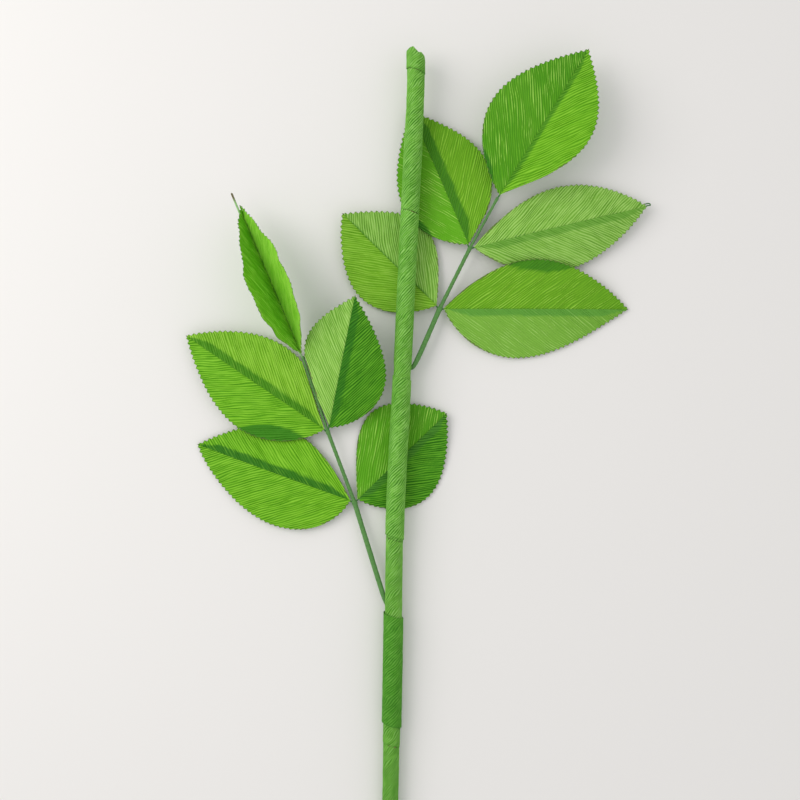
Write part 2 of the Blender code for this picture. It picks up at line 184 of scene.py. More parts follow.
# %% [markdown]
# ## A sheet to shape
# Every paper piece starts as Blender's grid primitive. One direction of the grid runs across
# the wrinkles and has its points close together, and the other runs along them, where the
# paper is smooth and a few points are enough. Each point's share of the way across and along
# the sheet is read from the plain grid, and later says where that point goes.

# %% Grids, places and remembered values
def nothing_selected():
    bpy.ops.object.select_all(action="DESELECT")


def crepe_sheet(name, across_count, along_count):
    """A new grid, with each point's share across the wrinkles and along them."""
    nothing_selected()
    bpy.ops.mesh.primitive_grid_add(x_subdivisions=across_count, y_subdivisions=along_count,
                                    size=2.0)
    sheet = bpy.context.object
    sheet.name = name
    sheet.data.name = name
    flat = np.empty(len(sheet.data.vertices) * 3, np.float32)
    sheet.data.vertices.foreach_get("co", flat)
    shares = (flat.reshape(-1, 3)[:, :2].astype(float) + 1) / 2
    return sheet, shares[:, 0], shares[:, 1]


def put_points(sheet, points):
    sheet.data.vertices.foreach_set("co", placed(points).astype(np.float32).ravel())
    sheet.data.update()


def remember(sheet, name, values):
    """Keep one number for each point, which the sheet's finish can read by name."""
    kept = sheet.data.attributes.new(name, "FLOAT", "POINT")
    kept.data.foreach_set("value", np.asarray(values, np.float32))


# %% [markdown]
# Paper has two faces and a cut edge, so a shaped sheet is closed with the Solidify modifier.
# Points that landed on one another, such as those at a leaf's tip, are merged first, and the
# normals are recalculated while the sheet is still open.

# %% Merge, thicken and shade
MERGE = 0.00002
SMOOTH_BELOW = math.radians(65)


def join_points(sheet):
    """Merge points that landed on one another, and face the sheet outwards."""
    nothing_selected()
    bpy.context.view_layer.objects.active = sheet
    sheet.select_set(True)
    bpy.ops.object.mode_set(mode="EDIT")
    bpy.ops.mesh.select_all(action="SELECT")
    bpy.ops.mesh.remove_doubles(threshold=MERGE)
    bpy.ops.mesh.normals_make_consistent(inside=False)
    bpy.ops.object.mode_set(mode="OBJECT")


def thicken(sheet, thickness, offset):
    """Close a shaped sheet into thin paper: thickness in mm, offset as in Solidify."""
    join_points(sheet)
    wall = sheet.modifiers.new("paper", "SOLIDIFY")
    wall.thickness = thickness * MM
    wall.offset = offset
    bpy.ops.object.modifier_apply(modifier=wall.name)
    bpy.ops.object.shade_smooth_by_angle(angle=SMOOTH_BELOW)


# %% [markdown]
# ## The shape of a leaflet
# Each leaflet bends evenly along its wire, and each half curves away from the crease, so
# both are arcs. A point is given by its distance along the crease, its distance across it,
# and its height above the paper. The halves are flat when they are cut, and this bends them.

# %% Bending a leaflet
PETIOLE = 4.0
LEAF_LIFT = 1.5


def arc(start, end, distance, span):
    """Run and rise at a distance along an arc that turns evenly from start to end degrees."""
    first = np.radians(start)
    turn = np.radians(end - start) / span
    turn = np.where(np.abs(turn) < 1e-7, 1e-7, turn)
    last = first + turn * distance
    return (np.sin(last) - np.sin(first)) / turn, (np.cos(first) - np.cos(last)) / turn


def directions(leaf):
    """Unit vectors along the leaflet's crease and to its left."""
    turn = math.radians(leaf.heading)
    return np.array([math.cos(turn), math.sin(turn), 0.0]), \
        np.array([-math.sin(turn), math.cos(turn), 0.0])


def leaf_base(sprig, leaf):
    ahead, _ = directions(leaf)
    return np.array(sprig.nodes[leaf.node], float) + ahead * PETIOLE + (0, 0, LEAF_LIFT)


def on_leaf(sprig, leaf, along, across, level):
    """Points of a leaflet, from arrays of places along, across and above its paper."""
    pitch = leaf.pitch[0] + (leaf.pitch[1] - leaf.pitch[0]) * along / leaf.length
    run, rise = arc(*leaf.pitch, along, leaf.length)
    on_left = across > 0
    side = np.where(on_left, 1.0, -1.0)
    fold = np.where(on_left, leaf.left.fold, leaf.right.fold)
    edge_fold = np.where(on_left, leaf.left.edge_fold, leaf.right.edge_fold)
    width = np.where(on_left, leaf.left.width, leaf.right.width)
    out, up = arc(fold, edge_fold, np.abs(across), width)
    tilt = np.radians(fold + (edge_fold - fold) * np.abs(across) / width)
    out = side * (out - level * np.sin(tilt))
    up = up + level * np.cos(tilt)
    run = run - up * np.sin(np.radians(pitch))
    rise = rise + up * np.cos(np.radians(pitch))
    ahead, left = directions(leaf)
    height = np.array([0.0, 0.0, 1.0])
    return (leaf_base(sprig, leaf) + run[:, None] * ahead + out[:, None] * left
            + rise[:, None] * height)


# %% [markdown]
# A half leaf's outline is half a sine wave, pushed towards one end so that it is widest where
# the maker's template was. Beside the stalk the outline is trimmed straight to clear the tape,
# except on one leaflet that rises steeply and lies over it.

# %% The outline of a half leaf
TAPE_CLEARANCE = 0.6
OVER_THE_TAPE = ("left_sprig", "upper_right")
OVERHANG = -1.8
LEAST_SPREAD = 0.3


def half_width(sprig, leaf, side, along):
    """Width of the left (1) or right (-1) half at distances along the crease."""
    half = leaf.left if side > 0 else leaf.right
    share = np.clip(along / leaf.length, 0.0, 1.0)
    bend = math.log(0.5) / math.log(half.peak)
    width = half.width * np.clip(np.sin(math.pi * share ** bend), 0.0, None) ** half.fullness
    if leaf.node == len(sprig.nodes) - 1:
        return width
    stalk = np.subtract(sprig.nodes[leaf.node + 1], sprig.nodes[leaf.node])
    between = math.atan2(stalk[1], stalk[0]) - math.radians(leaf.heading)
    if between * side <= 0:
        return width
    between = abs(between)
    covered = (sprig.name, leaf.name) == OVER_THE_TAPE
    clearance = sprig.tapes[leaf.node] + (OVERHANG if covered else TAPE_CLEARANCE)
    limit = ((along + PETIOLE) * math.sin(between) - clearance) / math.cos(between)
    return np.minimum(width, np.maximum(limit, LEAST_SPREAD * along))


# %% [markdown]
# ## Cutting a half leaf from the sheet
# The wrinkles leave the crease at a slant. So each row of points along a wrinkle starts at
# the crease and ends at the outline, or for the first rows starts and ends at the outline.
# Rows stand closer together where the outline runs nearly along the wrinkles, so that every
# tooth of the pinked edge keeps its shape.

# %% Rows of points that follow the wrinkles
GRAIN = math.radians(37)
ROW_SPACING = 0.46
EDGE_SPACING = 0.62
SEAM_START = 0.4
SEAM_FLAP = 7.0
FLAP_TAPER = 7

Rows = namedtuple("Rows", "place start end start_travel end_travel start_inward end_inward cut")


def flap_width(leaf, along):
    share = np.clip(along / leaf.length, 0, 1)
    return SEAM_FLAP * np.minimum(1.0, FLAP_TAPER * np.minimum(share, 1 - share))


def wrinkle_rows(sprig, leaf, side):
    """Where each row of points lies across the wrinkles, and where it starts and ends."""
    along = np.linspace(0.0, leaf.length, 3000)
    width = half_width(sprig, leaf, side, along)
    inner = np.full_like(along, SEAM_START) if side < 0 else -flap_width(leaf, along)
    kept = width > inner + 0.02
    along, width, inner = along[kept], width[kept], inner[kept]
    travel = np.concatenate([[0], np.cumsum(np.hypot(np.diff(along), np.diff(width)))])
    slope = np.arctan2(np.gradient(width, travel), np.gradient(along, travel))
    inward = np.stack([np.sin(slope), -np.cos(slope)], axis=1)

    across_grain = along * math.sin(GRAIN) - width * math.cos(GRAIN)
    turn = int(np.argmin(across_grain))
    far = np.maximum.accumulate(across_grain[turn:])
    effort = np.maximum(np.diff(far) / ROW_SPACING, np.diff(travel[turn:]) / EDGE_SPACING)
    effort = np.concatenate([[0], np.cumsum(effort)])
    count = math.ceil(effort[-1])
    steps = np.linspace(0, effort[-1], count + 1)
    place = np.interp(steps, effort, far)
    end_along = np.interp(steps, effort, along[turn:])
    end_travel = np.interp(steps, effort, travel[turn:])

    crease = along * math.sin(GRAIN) - inner * math.cos(GRAIN)
    crease = np.maximum.accumulate(crease)
    near_place = np.concatenate([across_grain[:turn + 1][::-1], crease])
    near_along = np.concatenate([along[:turn + 1][::-1], along])
    near_travel = np.concatenate([travel[:turn + 1][::-1], np.zeros_like(along)])
    cut = place < across_grain[0]
    near_place = np.maximum.accumulate(near_place)
    start_along = np.interp(place, near_place, near_along)
    start_travel = np.interp(place, near_place, near_travel)

    def run(spots):
        return (spots - place * math.sin(GRAIN)) / math.cos(GRAIN)

    def facing(travels):
        return np.stack([np.interp(travels, travel, inward[:, i]) for i in (0, 1)], axis=1)

    end = run(end_along)
    start = np.minimum(run(start_along), end)
    return Rows(place, start, end, start_travel, end_travel,
                facing(start_travel), facing(end_travel), cut), travel[-1]


rows, edge_length = wrinkle_rows(LEFT_SPRIG, LEFT_SPRIG.leaflets[0], 1)
print("rows in one half:", len(rows.place), "along an edge of", round(edge_length), "mm")

# %% [markdown]
# The glued flap shows through the half above it as a dark band of painted shade, where the
# double paper lets less light through. Some bands are strong and some faint, so each
# leaflet's band has its own width in millimetres and its own green.

# %% The bands beside the creases
Strip = namedtuple("Strip", "width colour")

STRIPS = {
    ("left_sprig", "lower_left"): Strip(8, (44, 113, 18)),
    ("left_sprig", "lower_right"): Strip(7.5, (70, 132, 36)),
    ("left_sprig", "upper_left"): Strip(8, (66, 134, 14)),
    ("left_sprig", "upper_right"): Strip(8, (50, 122, 18)),
    ("left_sprig", "tip"): Strip(2, (50, 116, 16)),
    ("right_sprig", "lower_right"): Strip(7.5, (98, 162, 60)),
    ("right_sprig", "lower_left"): Strip(1.5, (84, 144, 40)),
    ("right_sprig", "upper_right"): Strip(7.5, (108, 166, 56)),
    ("right_sprig", "upper_left"): Strip(10, (56, 122, 22)),
    ("right_sprig", "tip"): Strip(4.5, (74, 139, 22)),
}
print("widest band:", max(strip.width for strip in STRIPS.values()), "mm")

# %% [markdown]
# Crepe has a face with round crests and a back with sharp ones. Halves that are glued back
# side up show thin bright lines of painted highlight on their sharp crests, in place of thin
# dark lines of painted shade in narrow hollows.

# %% The halves that lie back side up
BACK_OF_PAPER = {
    ("left_sprig", "lower_right", 1),
    ("left_sprig", "tip", 1),
    ("right_sprig", "lower_right", 1),
    ("right_sprig", "lower_right", -1),
    ("right_sprig", "upper_left", 1),
    ("right_sprig", "upper_left", -1),
    ("right_sprig", "tip", 1),
}
print("halves with their back up:", len(BACK_OF_PAPER))

# %% [markdown]
# Pinking shears leave even, triangular teeth. Each point near the outline is pulled inwards
# by the depth of the tooth there, and points further in are pulled less and less. The paper
# near the edge also waves gently up and down, as cut crepe does.

# %% Cut, wrinkle and bend one half
TOOTH_PITCH = 5.3
TOOTH_DEPTH = 2.1
TOOTH_REACH = 4.5
ALONG_COUNT = 22
WRINKLE_PITCH = 2.2
WRINKLE_RUN = 17.0
CREST_HEIGHT = 0.95
PLY_OFFSET = 0.4
LEAF_PAPER = 0.22
EDGE_WAVE = 0.5
FOLDED_WAVE = 2.2
STEEP_FOLD = 45
WAVE_ALONG = 11
WAVE_ACROSS = 20
WAVE_REACH = 18
FRAY_DEPTH = 0.9
FRAY_LENGTH = 1.3
BAND_BLUR = 1.3
COVER_BLUR = 1.2
TIP_FROM = 0.55
FAR = 99.0


def tooth(travel, edge):
    """How far a tooth is cut in, 0 to 1, at distances along an outline of length edge."""
    teeth = round(edge / TOOTH_PITCH)
    return np.abs((travel / edge * teeth) % 1.0 - 0.5) * 2


def beneath(sprig, other, points):
    """1 where another leaflet lies under points, fading over about a millimetre at its edge."""
    ahead, left = directions(other)
    away = points - leaf_base(sprig, other)
    along = away @ ahead / math.cos(math.radians(sum(other.pitch) / 2))
    across = away @ left
    tilt = np.where(across > 0, other.left.edge_fold, other.right.edge_fold)
    across = across / np.cos(np.radians(tilt))
    edge = np.where(across > 0, half_width(sprig, other, 1, along),
                    half_width(sprig, other, -1, along))
    edge = np.where((along > 0) & (along < other.length), edge, -FAR)
    return np.clip(0.5 + (edge - np.abs(across)) / COVER_BLUR, 0, 1)


def cut_half(sprig, leaf, side, seed, others):
    """One crepe half of a leaflet, as a finished mesh: side 1 is its left, -1 its right."""
    rows, edge = wrinkle_rows(sprig, leaf, side)
    over = side < 0
    name = "%s_%s_paper_%s" % (sprig.name, leaf.name, "over" if over else "under")
    sheet, across_share, along_share = crepe_sheet(name, len(rows.place) - 1, ALONG_COUNT)
    row = np.rint(across_share * (len(rows.place) - 1)).astype(int)
    eased = 0.5 - 0.5 * np.cos(math.pi * along_share)

    length = (rows.end - rows.start)[row]
    grain_along = rows.start[row] + length * eased
    grain_across = rows.place[row]
    along = grain_across * math.sin(GRAIN) + grain_along * math.cos(GRAIN)
    across = grain_along * math.sin(GRAIN) - grain_across * math.cos(GRAIN)

    from_end = length * (1 - eased)
    from_start = np.where(rows.cut[row], length * eased, FAR)
    reach = np.maximum(np.minimum(TOOTH_REACH, 0.5 * length), 0.01)
    pull_end = TOOTH_DEPTH * tooth(rows.end_travel[row], edge)
    pull_end *= np.clip(1 - from_end / reach, 0, 1) ** 2
    pull_start = TOOTH_DEPTH * tooth(rows.start_travel[row], edge)
    pull_start *= np.clip(1 - from_start / reach, 0, 1) ** 2
    pulled = (pull_end[:, None] * rows.end_inward[row]
              + pull_start[:, None] * rows.start_inward[row])
    along = along + pulled[:, 0]
    floor = SEAM_START if over else -FAR
    across = np.maximum(across + pulled[:, 1], floor)

    crest = crests(seed, grain_across + 40, grain_along + 200, WRINKLE_PITCH, WRINKLE_RUN)
    # On the back of the paper the crests are sharp, and their painted highlight falls in thin
    # lines.
    if (sprig.name, leaf.name, side) in BACK_OF_PAPER:
        crest = 1 - crest
    meet = np.abs(rows.end_inward[row] @ np.array([math.cos(GRAIN), math.sin(GRAIN)]))
    near_edge = np.minimum(from_end, from_start) * meet
    height = FOLDED_WAVE if leaf.left.fold > STEEP_FOLD else EDGE_WAVE
    wave = height * smooth_noise(seed + 5, along / WAVE_ALONG + 30, across / WAVE_ACROSS + 30)
    wave *= np.clip(1 - near_edge / WAVE_REACH, 0, 1)
    level = (PLY_OFFSET if over else -PLY_OFFSET) + CREST_HEIGHT * (crest - 0.5) + wave
    flap = flap_width(leaf, along)
    tucked = (side * across < 0) & (not over)
    level = np.where(tucked, np.minimum(level, -PLY_OFFSET + 0.1), level)
    points = on_leaf(sprig, leaf, along, side * across, level)
    put_points(sheet, points)

    # Where the paper is double, for the band of painted shade.
    double = np.zeros_like(along)
    if over:
        flap = STRIPS[sprig.name, leaf.name].width / SEAM_FLAP * flap
        frayed = flap + FRAY_DEPTH * smooth_noise(seed + 9, along / FRAY_LENGTH + 9, across / 3 + 9)
        double = np.clip((frayed - across) / BAND_BLUR + 0.5, 0, 1)
    # Where this half lies over another leaflet, for painted shade.
    covers = np.zeros_like(along)
    for other in others:
        covers = np.maximum(covers, beneath(sprig, other, points))
    remember(sheet, "crest", crest)
    remember(sheet, "edge", near_edge)
    remember(sheet, "double", double)
    remember(sheet, "covers", covers)
    remember(sheet, "tip", np.clip((along / leaf.length - TIP_FROM) / (1 - TIP_FROM), 0, 1))
    remember(sheet, "grain_across", grain_across)
    remember(sheet, "grain_along", grain_along)
    thicken(sheet, LEAF_PAPER, 0.0)
    return sheet


# %% [markdown]
# ## All twenty halves
# The halves are cut in a loop. The right half of every leaflet lies on the flap of the left
# one, which shows through as a dark band of painted shade beside the crease, and where one
# leaflet lies over another the paper is painted darker too, as shade. So each sheet
# remembers where it is double and where it covers another leaflet.

# %% Cut the leaflets
LIES_OVER = {
    ("left_sprig", "upper_left"): ["lower_left"],
    ("right_sprig", "lower_right"): ["upper_right"],
    ("right_sprig", "upper_left"): ["lower_left"],
    ("right_sprig", "tip"): ["upper_left"],
}
halves = {}
for sprig in SPRIGS:
    by_name = {leaf.name: leaf for leaf in sprig.leaflets}
    for leaf in sprig.leaflets:
        others = [by_name[other] for other in LIES_OVER.get((sprig.name, leaf.name), [])]
        for side in (1, -1):
            seed = 100 + 20 * len(halves)
            sheet = cut_half(sprig, leaf, side, seed, others)
            ply = "upper" if side < 0 else "lower"
            node = "%s_%s_leaf_%s_half" % (sprig.name, leaf.name, ply)
            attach(sheet, "root")
            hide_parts(node)
            halves[sprig.name, leaf.name, side] = sheet
print("faces in all the leaves:", sum(len(half.data.polygons) for half in halves.values()))

# %% [markdown]
# ## The wound stem
# The rod is wound with strips of crepe that are glued as they go, so its wrinkles climb
# round it at a slant, and each new strip ends in a slanting step. A strip is a grid rolled
# into a tube: its rows lean with the wrinkles, and the two long edges meet and are merged.

# %% The line of the stem
STEM_LENGTH = 1000.0
WRAP_OUTER = 8.0
LEVEL_LENGTH = 150.0
STEM_RISE = 16.0
RISE_POWER = 1.2
SEAM_SLANT = 0.3
SEAM_GAP = 0.3
STEM_SWAY = [(0, -3.0), (150, -1.6), (256, -0.6), (400, 2.0), (530, 4.0), (660, 10.4),
             (780, 16.0), (900, 22.0), (960, 24.6), (1000, 24.6)]


def smooth_path(points, per_span):
    """Points on a Catmull-Rom curve through the given points, per_span to each span."""
    knots = [np.array(point, float) for point in points]
    ends = [2 * knots[0] - knots[1]] + knots + [2 * knots[-1] - knots[-2]]
    path = []
    for a, b, c, d in zip(ends, ends[1:], ends[2:], ends[3:]):
        for step in range(per_span):
            t = step / per_span
            path.append(0.5 * (2 * b + (c - a) * t + (2 * a - 5 * b + 4 * c - d) * t * t
                               + (3 * b - a - 3 * c + d) * t ** 3))
    return np.array(path + [knots[-1]])


SWAY_PATH = smooth_path(STEM_SWAY, 12)


def stem_axis(distance):
    """Where the stem's axis is at distances from its foot, as x and z."""
    lift = np.clip((distance - LEVEL_LENGTH) / (STEM_LENGTH - LEVEL_LENGTH), 0, None)
    sway = np.interp(distance, SWAY_PATH[:, 0], SWAY_PATH[:, 1])
    return sway, WRAP_OUTER + STEM_RISE * lift ** RISE_POWER


print("top of the stem's axis:", [round(float(v), 1) for v in stem_axis(STEM_LENGTH)])

# %% Roll a strip round the stem
WINDING = math.radians(55)
STEM_COLUMNS = 120
STEM_ROW = 2.2
STEM_PITCH = 1.95
STEM_RUN = 10.0
WIRE_BULGE = 1.9
BULGE_HALF_ANGLE = 38.0
LUMP = 0.16
PLEAT_FOLD = 0.10
PLEATS_FROM = 0.45
END_FRAY = 0.5
END_REACH = 4


def swell(angle, centre):
    """How far a binding stands out over a wire beneath it, at angles in radians."""
    off = (np.degrees(angle) - centre + 180.0) % 360.0 - 180.0
    bump = np.cos(np.radians(90.0 * off / BULGE_HALF_ANGLE)) ** 2
    return np.where(np.abs(off) < BULGE_HALF_ANGLE, WIRE_BULGE * bump, 0.0)


def roll_strip(name, outside, seed, crest_height, over_wire=None, pleats=0.0, row=STEM_ROW):
    """Roll a strip of crepe round the stem; outside lists (distance from foot, radius)."""
    stations = np.array(outside, float)
    travel = np.concatenate([[0], np.cumsum(np.hypot(*np.diff(stations, axis=0).T))])
    count = math.ceil(travel[-1] / row)
    sheet, across_share, along_share = crepe_sheet(name, STEM_COLUMNS, count)
    spot = along_share * travel[-1]
    distance = np.interp(spot, travel, stations[:, 0])
    radius = np.interp(spot, travel, stations[:, 1])
    lean = distance / math.tan(WINDING) / WRAP_OUTER
    angle = across_share * math.tau - lean

    girth = math.tau * WRAP_OUTER * math.sin(WINDING)
    cells = 6 * round(girth / STEM_PITCH / 6)
    crest = crests(seed, across_share * cells * STEM_PITCH, distance / math.sin(WINDING) + 60,
                   STEM_PITCH, STEM_RUN, cells)
    calm = np.clip(radius / WRAP_OUTER, 0, 1)
    radius = radius + crest_height * (crest - 0.6) * calm
    turned = across_share * 9 + 9
    lump = smooth_noise(seed + 3, turned, distance / 14 + 5, 9)
    radius = radius + LUMP * lump * calm
    if over_wire is not None:
        radius = radius + swell(angle, over_wire)
    if pleats:
        folded = smooth_noise(seed + 7, across_share * 11, spot / 5, 11)
        ragged = smooth_noise(seed + 8, across_share * 27, spot / 3, 27)
        near_top = np.clip((spot / travel[-1] - PLEATS_FROM) / 0.4, 0, 1)
        radius = radius * (1 + PLEAT_FOLD * folded * near_top)
        distance = distance + pleats * (folded + 0.7 * ragged) * near_top
    frayed = END_FRAY * smooth_noise(seed + 11, across_share * 40, np.zeros_like(spot), 40)
    nearest = np.minimum(spot, travel[-1] - spot)
    distance = distance + frayed * np.clip(1 - nearest / END_REACH, 0, 1) * calm

    x, z = radius * np.cos(angle), radius * np.sin(angle)
    y = distance - SEAM_SLANT * x
    axis_x, axis_z = stem_axis(y)
    put_points(sheet, np.stack([axis_x + x, y, axis_z + z], axis=1))
    remember(sheet, "crest", crest)
    remember(sheet, "edge", np.where(spot < travel[-1] / 2, spot, FAR))
    remember(sheet, "grain_across", across_share * girth)
    remember(sheet, "grain_along", distance / math.sin(WINDING))
    return sheet


# %% Wind the stem
STEM_PAPER = 0.5
STEM_CREST = 0.75
BINDING_CREST = 0.65
CAP_CREST = 0.45
STEM_WRAPS = {
    "stem_wrap_foot": [(4, 7.7), (150, 7.7), (304, 8.0)],
    "stem_wrap_lower": [(304 + SEAM_GAP, 8.4), (510, 8.5)],
    "stem_wrap_middle": [(510 + SEAM_GAP, 8.4), (680, 8.4), (686, 8.9), (837, 9.0)],
    "stem_wrap_upper": [(837 + SEAM_GAP, 9.0), (900, 9.0), (940, 8.6), (976, 8.6)],
}
stem_pieces = {}
for number, (node, outside) in enumerate(STEM_WRAPS.items()):
    strip = roll_strip(node + "_crepe", outside, 700 + 20 * number, STEM_CREST)
    thicken(strip, STEM_PAPER, -1.0)
    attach(strip, "root")
    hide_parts(node)
    stem_pieces[node] = strip
print({node: len(strip.data.polygons) for node, strip in stem_pieces.items()})

# %% [markdown]
# Each sprig's main wire runs down beside the stem, and a smoother, tighter strip binds it
# there. It is rolled the same way, a little thicker, and stands out where it covers the wire.

# %% Bind the two sprigs
BINDING_OUTER = 9.3
for number, sprig in enumerate(SPRIGS):
    low, high = sprig.binding
    outside = [(low, BINDING_OUTER), (high, BINDING_OUTER)]
    node = sprig.name + "_binding"
    strip = roll_strip(node + "_crepe", outside, 800 + 20 * number, BINDING_CREST,
                       over_wire=sprig.tail_angle)
    thicken(strip, STEM_PAPER, -1.0)
    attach(strip, "root")
    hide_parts(node)
    stem_pieces[node] = strip
print("bound:", [node for node in stem_pieces if "binding" in node])

# %% [markdown]
# At the top the last strip is folded over the end of the rod and pinched shut, which leaves
# small pleats and a ragged crown. The same roll follows a domed outline, and its top ring
# shrinks to a point that the merge closes.

# %% Fold the cap
CAP = [(976 + SEAM_GAP, 9.3), (986, 9.2), (990, 9.2), (993.5, 8.8), (996, 7.2),
       (996.5, 3.2), (995.5, 0.0)]
cap = roll_strip("stem_cap_crepe", CAP, 860, CAP_CREST, pleats=2.0, row=0.8)
thicken(cap, STEM_PAPER, -1.0)
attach(cap, "root")
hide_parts("stem_cap")
stem_pieces["stem_cap"] = cap
print("cap faces:", len(cap.data.polygons))

# %% [markdown]
# ## The taped stalks
# The leaf wires of a sprig run together down its stalk, wound with narrow paper tape. The
# tape shows as slanting laps, with a shallow groove where two wires lie side by side, and it
# thickens over each fork. It is a small tube that follows the stalk from fork to fork, and
# the lowest length follows the main wire on to the stem.

# %% Tape the stalks
TAPE_COLUMNS = 24
TAPE_ROW = 0.7
TAPE_PAPER = 0.25
TAPE_LAP = 5.0
LAP_STEP = 0.10
TAPE_DRAWN_IN = 0.4
KNOT_SWELL = 0.35
KNOT_LENGTH = 2.6
TAPE_ROUGH = 0.1
GROOVE_DEPTH = 0.14
GROOVE_WIDTH = 0.35
PAST_FORK = 1.2
BEFORE_FORK = 1.5
TAIL_OUT = 1.0


def tail_place(sprig, distance):
    """Where the main wire lies beside the stem at a distance from the foot."""
    angle = math.radians(sprig.tail_angle)
    reach = WRAP_OUTER + TAIL_OUT
    x, z = stem_axis(distance)
    return float(x) + reach * math.cos(angle), distance, float(z) + reach * math.sin(angle)


def tape_route(sprig, span):
    """The middle line of one length of tape, and its radius at each point of it."""
    start = np.array(sprig.nodes[span], float)
    end = np.array(sprig.nodes[span + 1], float)
    ahead = (end - start) / np.linalg.norm(end - start)
    radius = sprig.tapes[span] - TAPE_DRAWN_IN
    if span:
        return [start - BEFORE_FORK * ahead, start, end + PAST_FORK * ahead], [radius] * 3
    top = sprig.binding[1]
    route = [tail_place(sprig, top - 4), tail_place(sprig, top + 8)]
    return route + [start, end + PAST_FORK * ahead], [1.0, 1.1, radius, radius]


def middle_line(path, travel, spot):
    return np.stack([np.interp(spot, travel, path[:, i]) for i in range(3)], axis=1)


def around_path(path, travel, spot, radius, angle):
    """Points of a tube that follows a path, at places along it and angles round it."""
    middle = middle_line(path, travel, spot)
    heading = np.stack([np.interp(spot, travel, np.gradient(path[:, i], travel))
                        for i in range(3)], axis=1)
    heading /= np.linalg.norm(heading, axis=1)[:, None]
    aside = np.cross(heading, (0, 0, 1.0))
    aside /= np.linalg.norm(aside, axis=1)[:, None]
    above = np.cross(aside, heading)
    return middle + radius[:, None] * (np.cos(angle)[:, None] * aside
                                       + np.sin(angle)[:, None] * above)


def travelled(path):
    return np.concatenate([[0], np.cumsum(np.linalg.norm(np.diff(path[:, :3], axis=0), axis=1))])


def tape_stalk(sprig, span, seed):
    route, radii = tape_route(sprig, span)
    path = smooth_path(np.column_stack([route, radii]), 10)
    travel = travelled(path)
    count = math.ceil(travel[-1] / TAPE_ROW)
    name = "%s_tape_%d_wound" % (sprig.name, span + 1)
    sheet, across_share, along_share = crepe_sheet(name, TAPE_COLUMNS, count)
    spot = along_share * travel[-1]
    radius = np.interp(spot, travel, path[:, 3])

    angle = across_share * math.tau
    lap = (spot / TAPE_LAP + across_share) % 1.0
    radius = radius + LAP_STEP * lap
    radius = radius + TAPE_ROUGH * smooth_noise(seed, across_share * 8, spot / 1.6, 8)
    front = (angle - math.pi / 2 + math.pi) % math.tau - math.pi
    radius = radius - GROOVE_DEPTH * radius * np.exp(-(front / GROOVE_WIDTH) ** 2)
    middle = middle_line(path, travel, spot)
    for node in (span, span + 1):
        if node:
            fork = np.linalg.norm(middle - np.array(sprig.nodes[node], float), axis=1)
            radius = radius + KNOT_SWELL * np.exp(-(fork / KNOT_LENGTH) ** 2)

    put_points(sheet, around_path(path, travel, spot, radius, angle))
    remember(sheet, "lap", lap)
    thicken(sheet, TAPE_PAPER, -1.0)
    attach(sheet, "root")
    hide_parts("%s_tape_%d" % (sprig.name, span + 1))
    return sheet


tapes = []
for sprig in SPRIGS:
    for span in range(3):
        tapes.append(tape_stalk(sprig, span, 900 + 10 * len(tapes)))
print("lengths of tape:", len(tapes))

# %% [markdown]
# Each leaflet's own wire leaves the tape at its fork and runs behind the crease almost to the
# tip. One wire lies in the fold of its leaflet and ends bare, and another is bent back into a
# small eyelet. A wire is a closed tube whose end rings shrink to a point.

# %% Lay the leaf wires
LEAF_WIRE = 0.8
WIRE_BEHIND = -1.6
WIRE_IN_FOLD = 2.6
WIRE_COLUMNS = 14
WIRE_ROW = 1.2
IN_TAPE = 7.0
STOPS_SHORT = -4.0
BARE_END = 14.0
EYELET_REACH = 3.0
EYELET_WIDTH = 3.2
EYELET_WIRE = 0.6
BARE_WIRE = 1.0
WIRE_START = 8.0
FOLDED_SHUT = ("left_sprig", "tip")
BENT_BACK = ("right_sprig", "upper_right")


def wire_route(sprig, leaf):
    """Points along a leaflet's wire, from inside the tape below its fork to its end."""
    fork = np.array(sprig.nodes[leaf.node], float)
    below = fork - np.array(sprig.nodes[leaf.node - 1], float)
    below /= np.linalg.norm(below)
    in_fold = (sprig.name, leaf.name) == FOLDED_SHUT
    bent_back = (sprig.name, leaf.name) == BENT_BACK
    end = leaf.length + (BARE_END if in_fold else EYELET_REACH if bent_back else STOPS_SHORT)
    along = np.linspace(WIRE_START, end, 14)
    across = np.zeros_like(along)
    if bent_back:
        turn = EYELET_WIDTH / 2
        angles = np.radians([45, 90, 135, 180])
        along = np.concatenate([along, end + turn * np.sin(angles), [leaf.length - 3.0]])
        across = np.concatenate([across, turn * (1 - np.cos(angles)), [EYELET_WIDTH]])
    level = np.full_like(along, WIRE_IN_FOLD if in_fold else WIRE_BEHIND)
    return np.concatenate([[fork - IN_TAPE * below, fork - BEFORE_FORK * below],
                           on_leaf(sprig, leaf, along, across, level)])


def lay_wire(sprig, leaf):
    path = smooth_path(wire_route(sprig, leaf), 6)
    travel = travelled(path)
    name = "%s_%s_covered_wire" % (sprig.name, leaf.name)
    sheet, across_share, along_share = crepe_sheet(name, WIRE_COLUMNS,
                                                   math.ceil(travel[-1] / WIRE_ROW))
    spot = along_share * travel[-1]
    from_end = np.minimum(spot, travel[-1] - spot)
    end_radius = BARE_WIRE if (sprig.name, leaf.name) == FOLDED_SHUT else EYELET_WIRE
    wire = np.interp(spot, [leaf.length * 0.9, leaf.length], [LEAF_WIRE, end_radius])
    radius = wire * np.sqrt(np.clip(from_end / WIRE_ROW, 0, 1))
    put_points(sheet, around_path(path, travel, spot, radius, across_share * math.tau))
    join_points(sheet)
    bpy.ops.object.shade_smooth_by_angle(angle=SMOOTH_BELOW)
    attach(sheet, "root")
    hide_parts("%s_%s_leaf_wire" % (sprig.name, leaf.name))
    return sheet


wires = {}
for sprig in SPRIGS:
    for leaf in sprig.leaflets:
        wires[sprig.name, leaf.name] = lay_wire(sprig, leaf)
print("leaf wires:", len(wires))

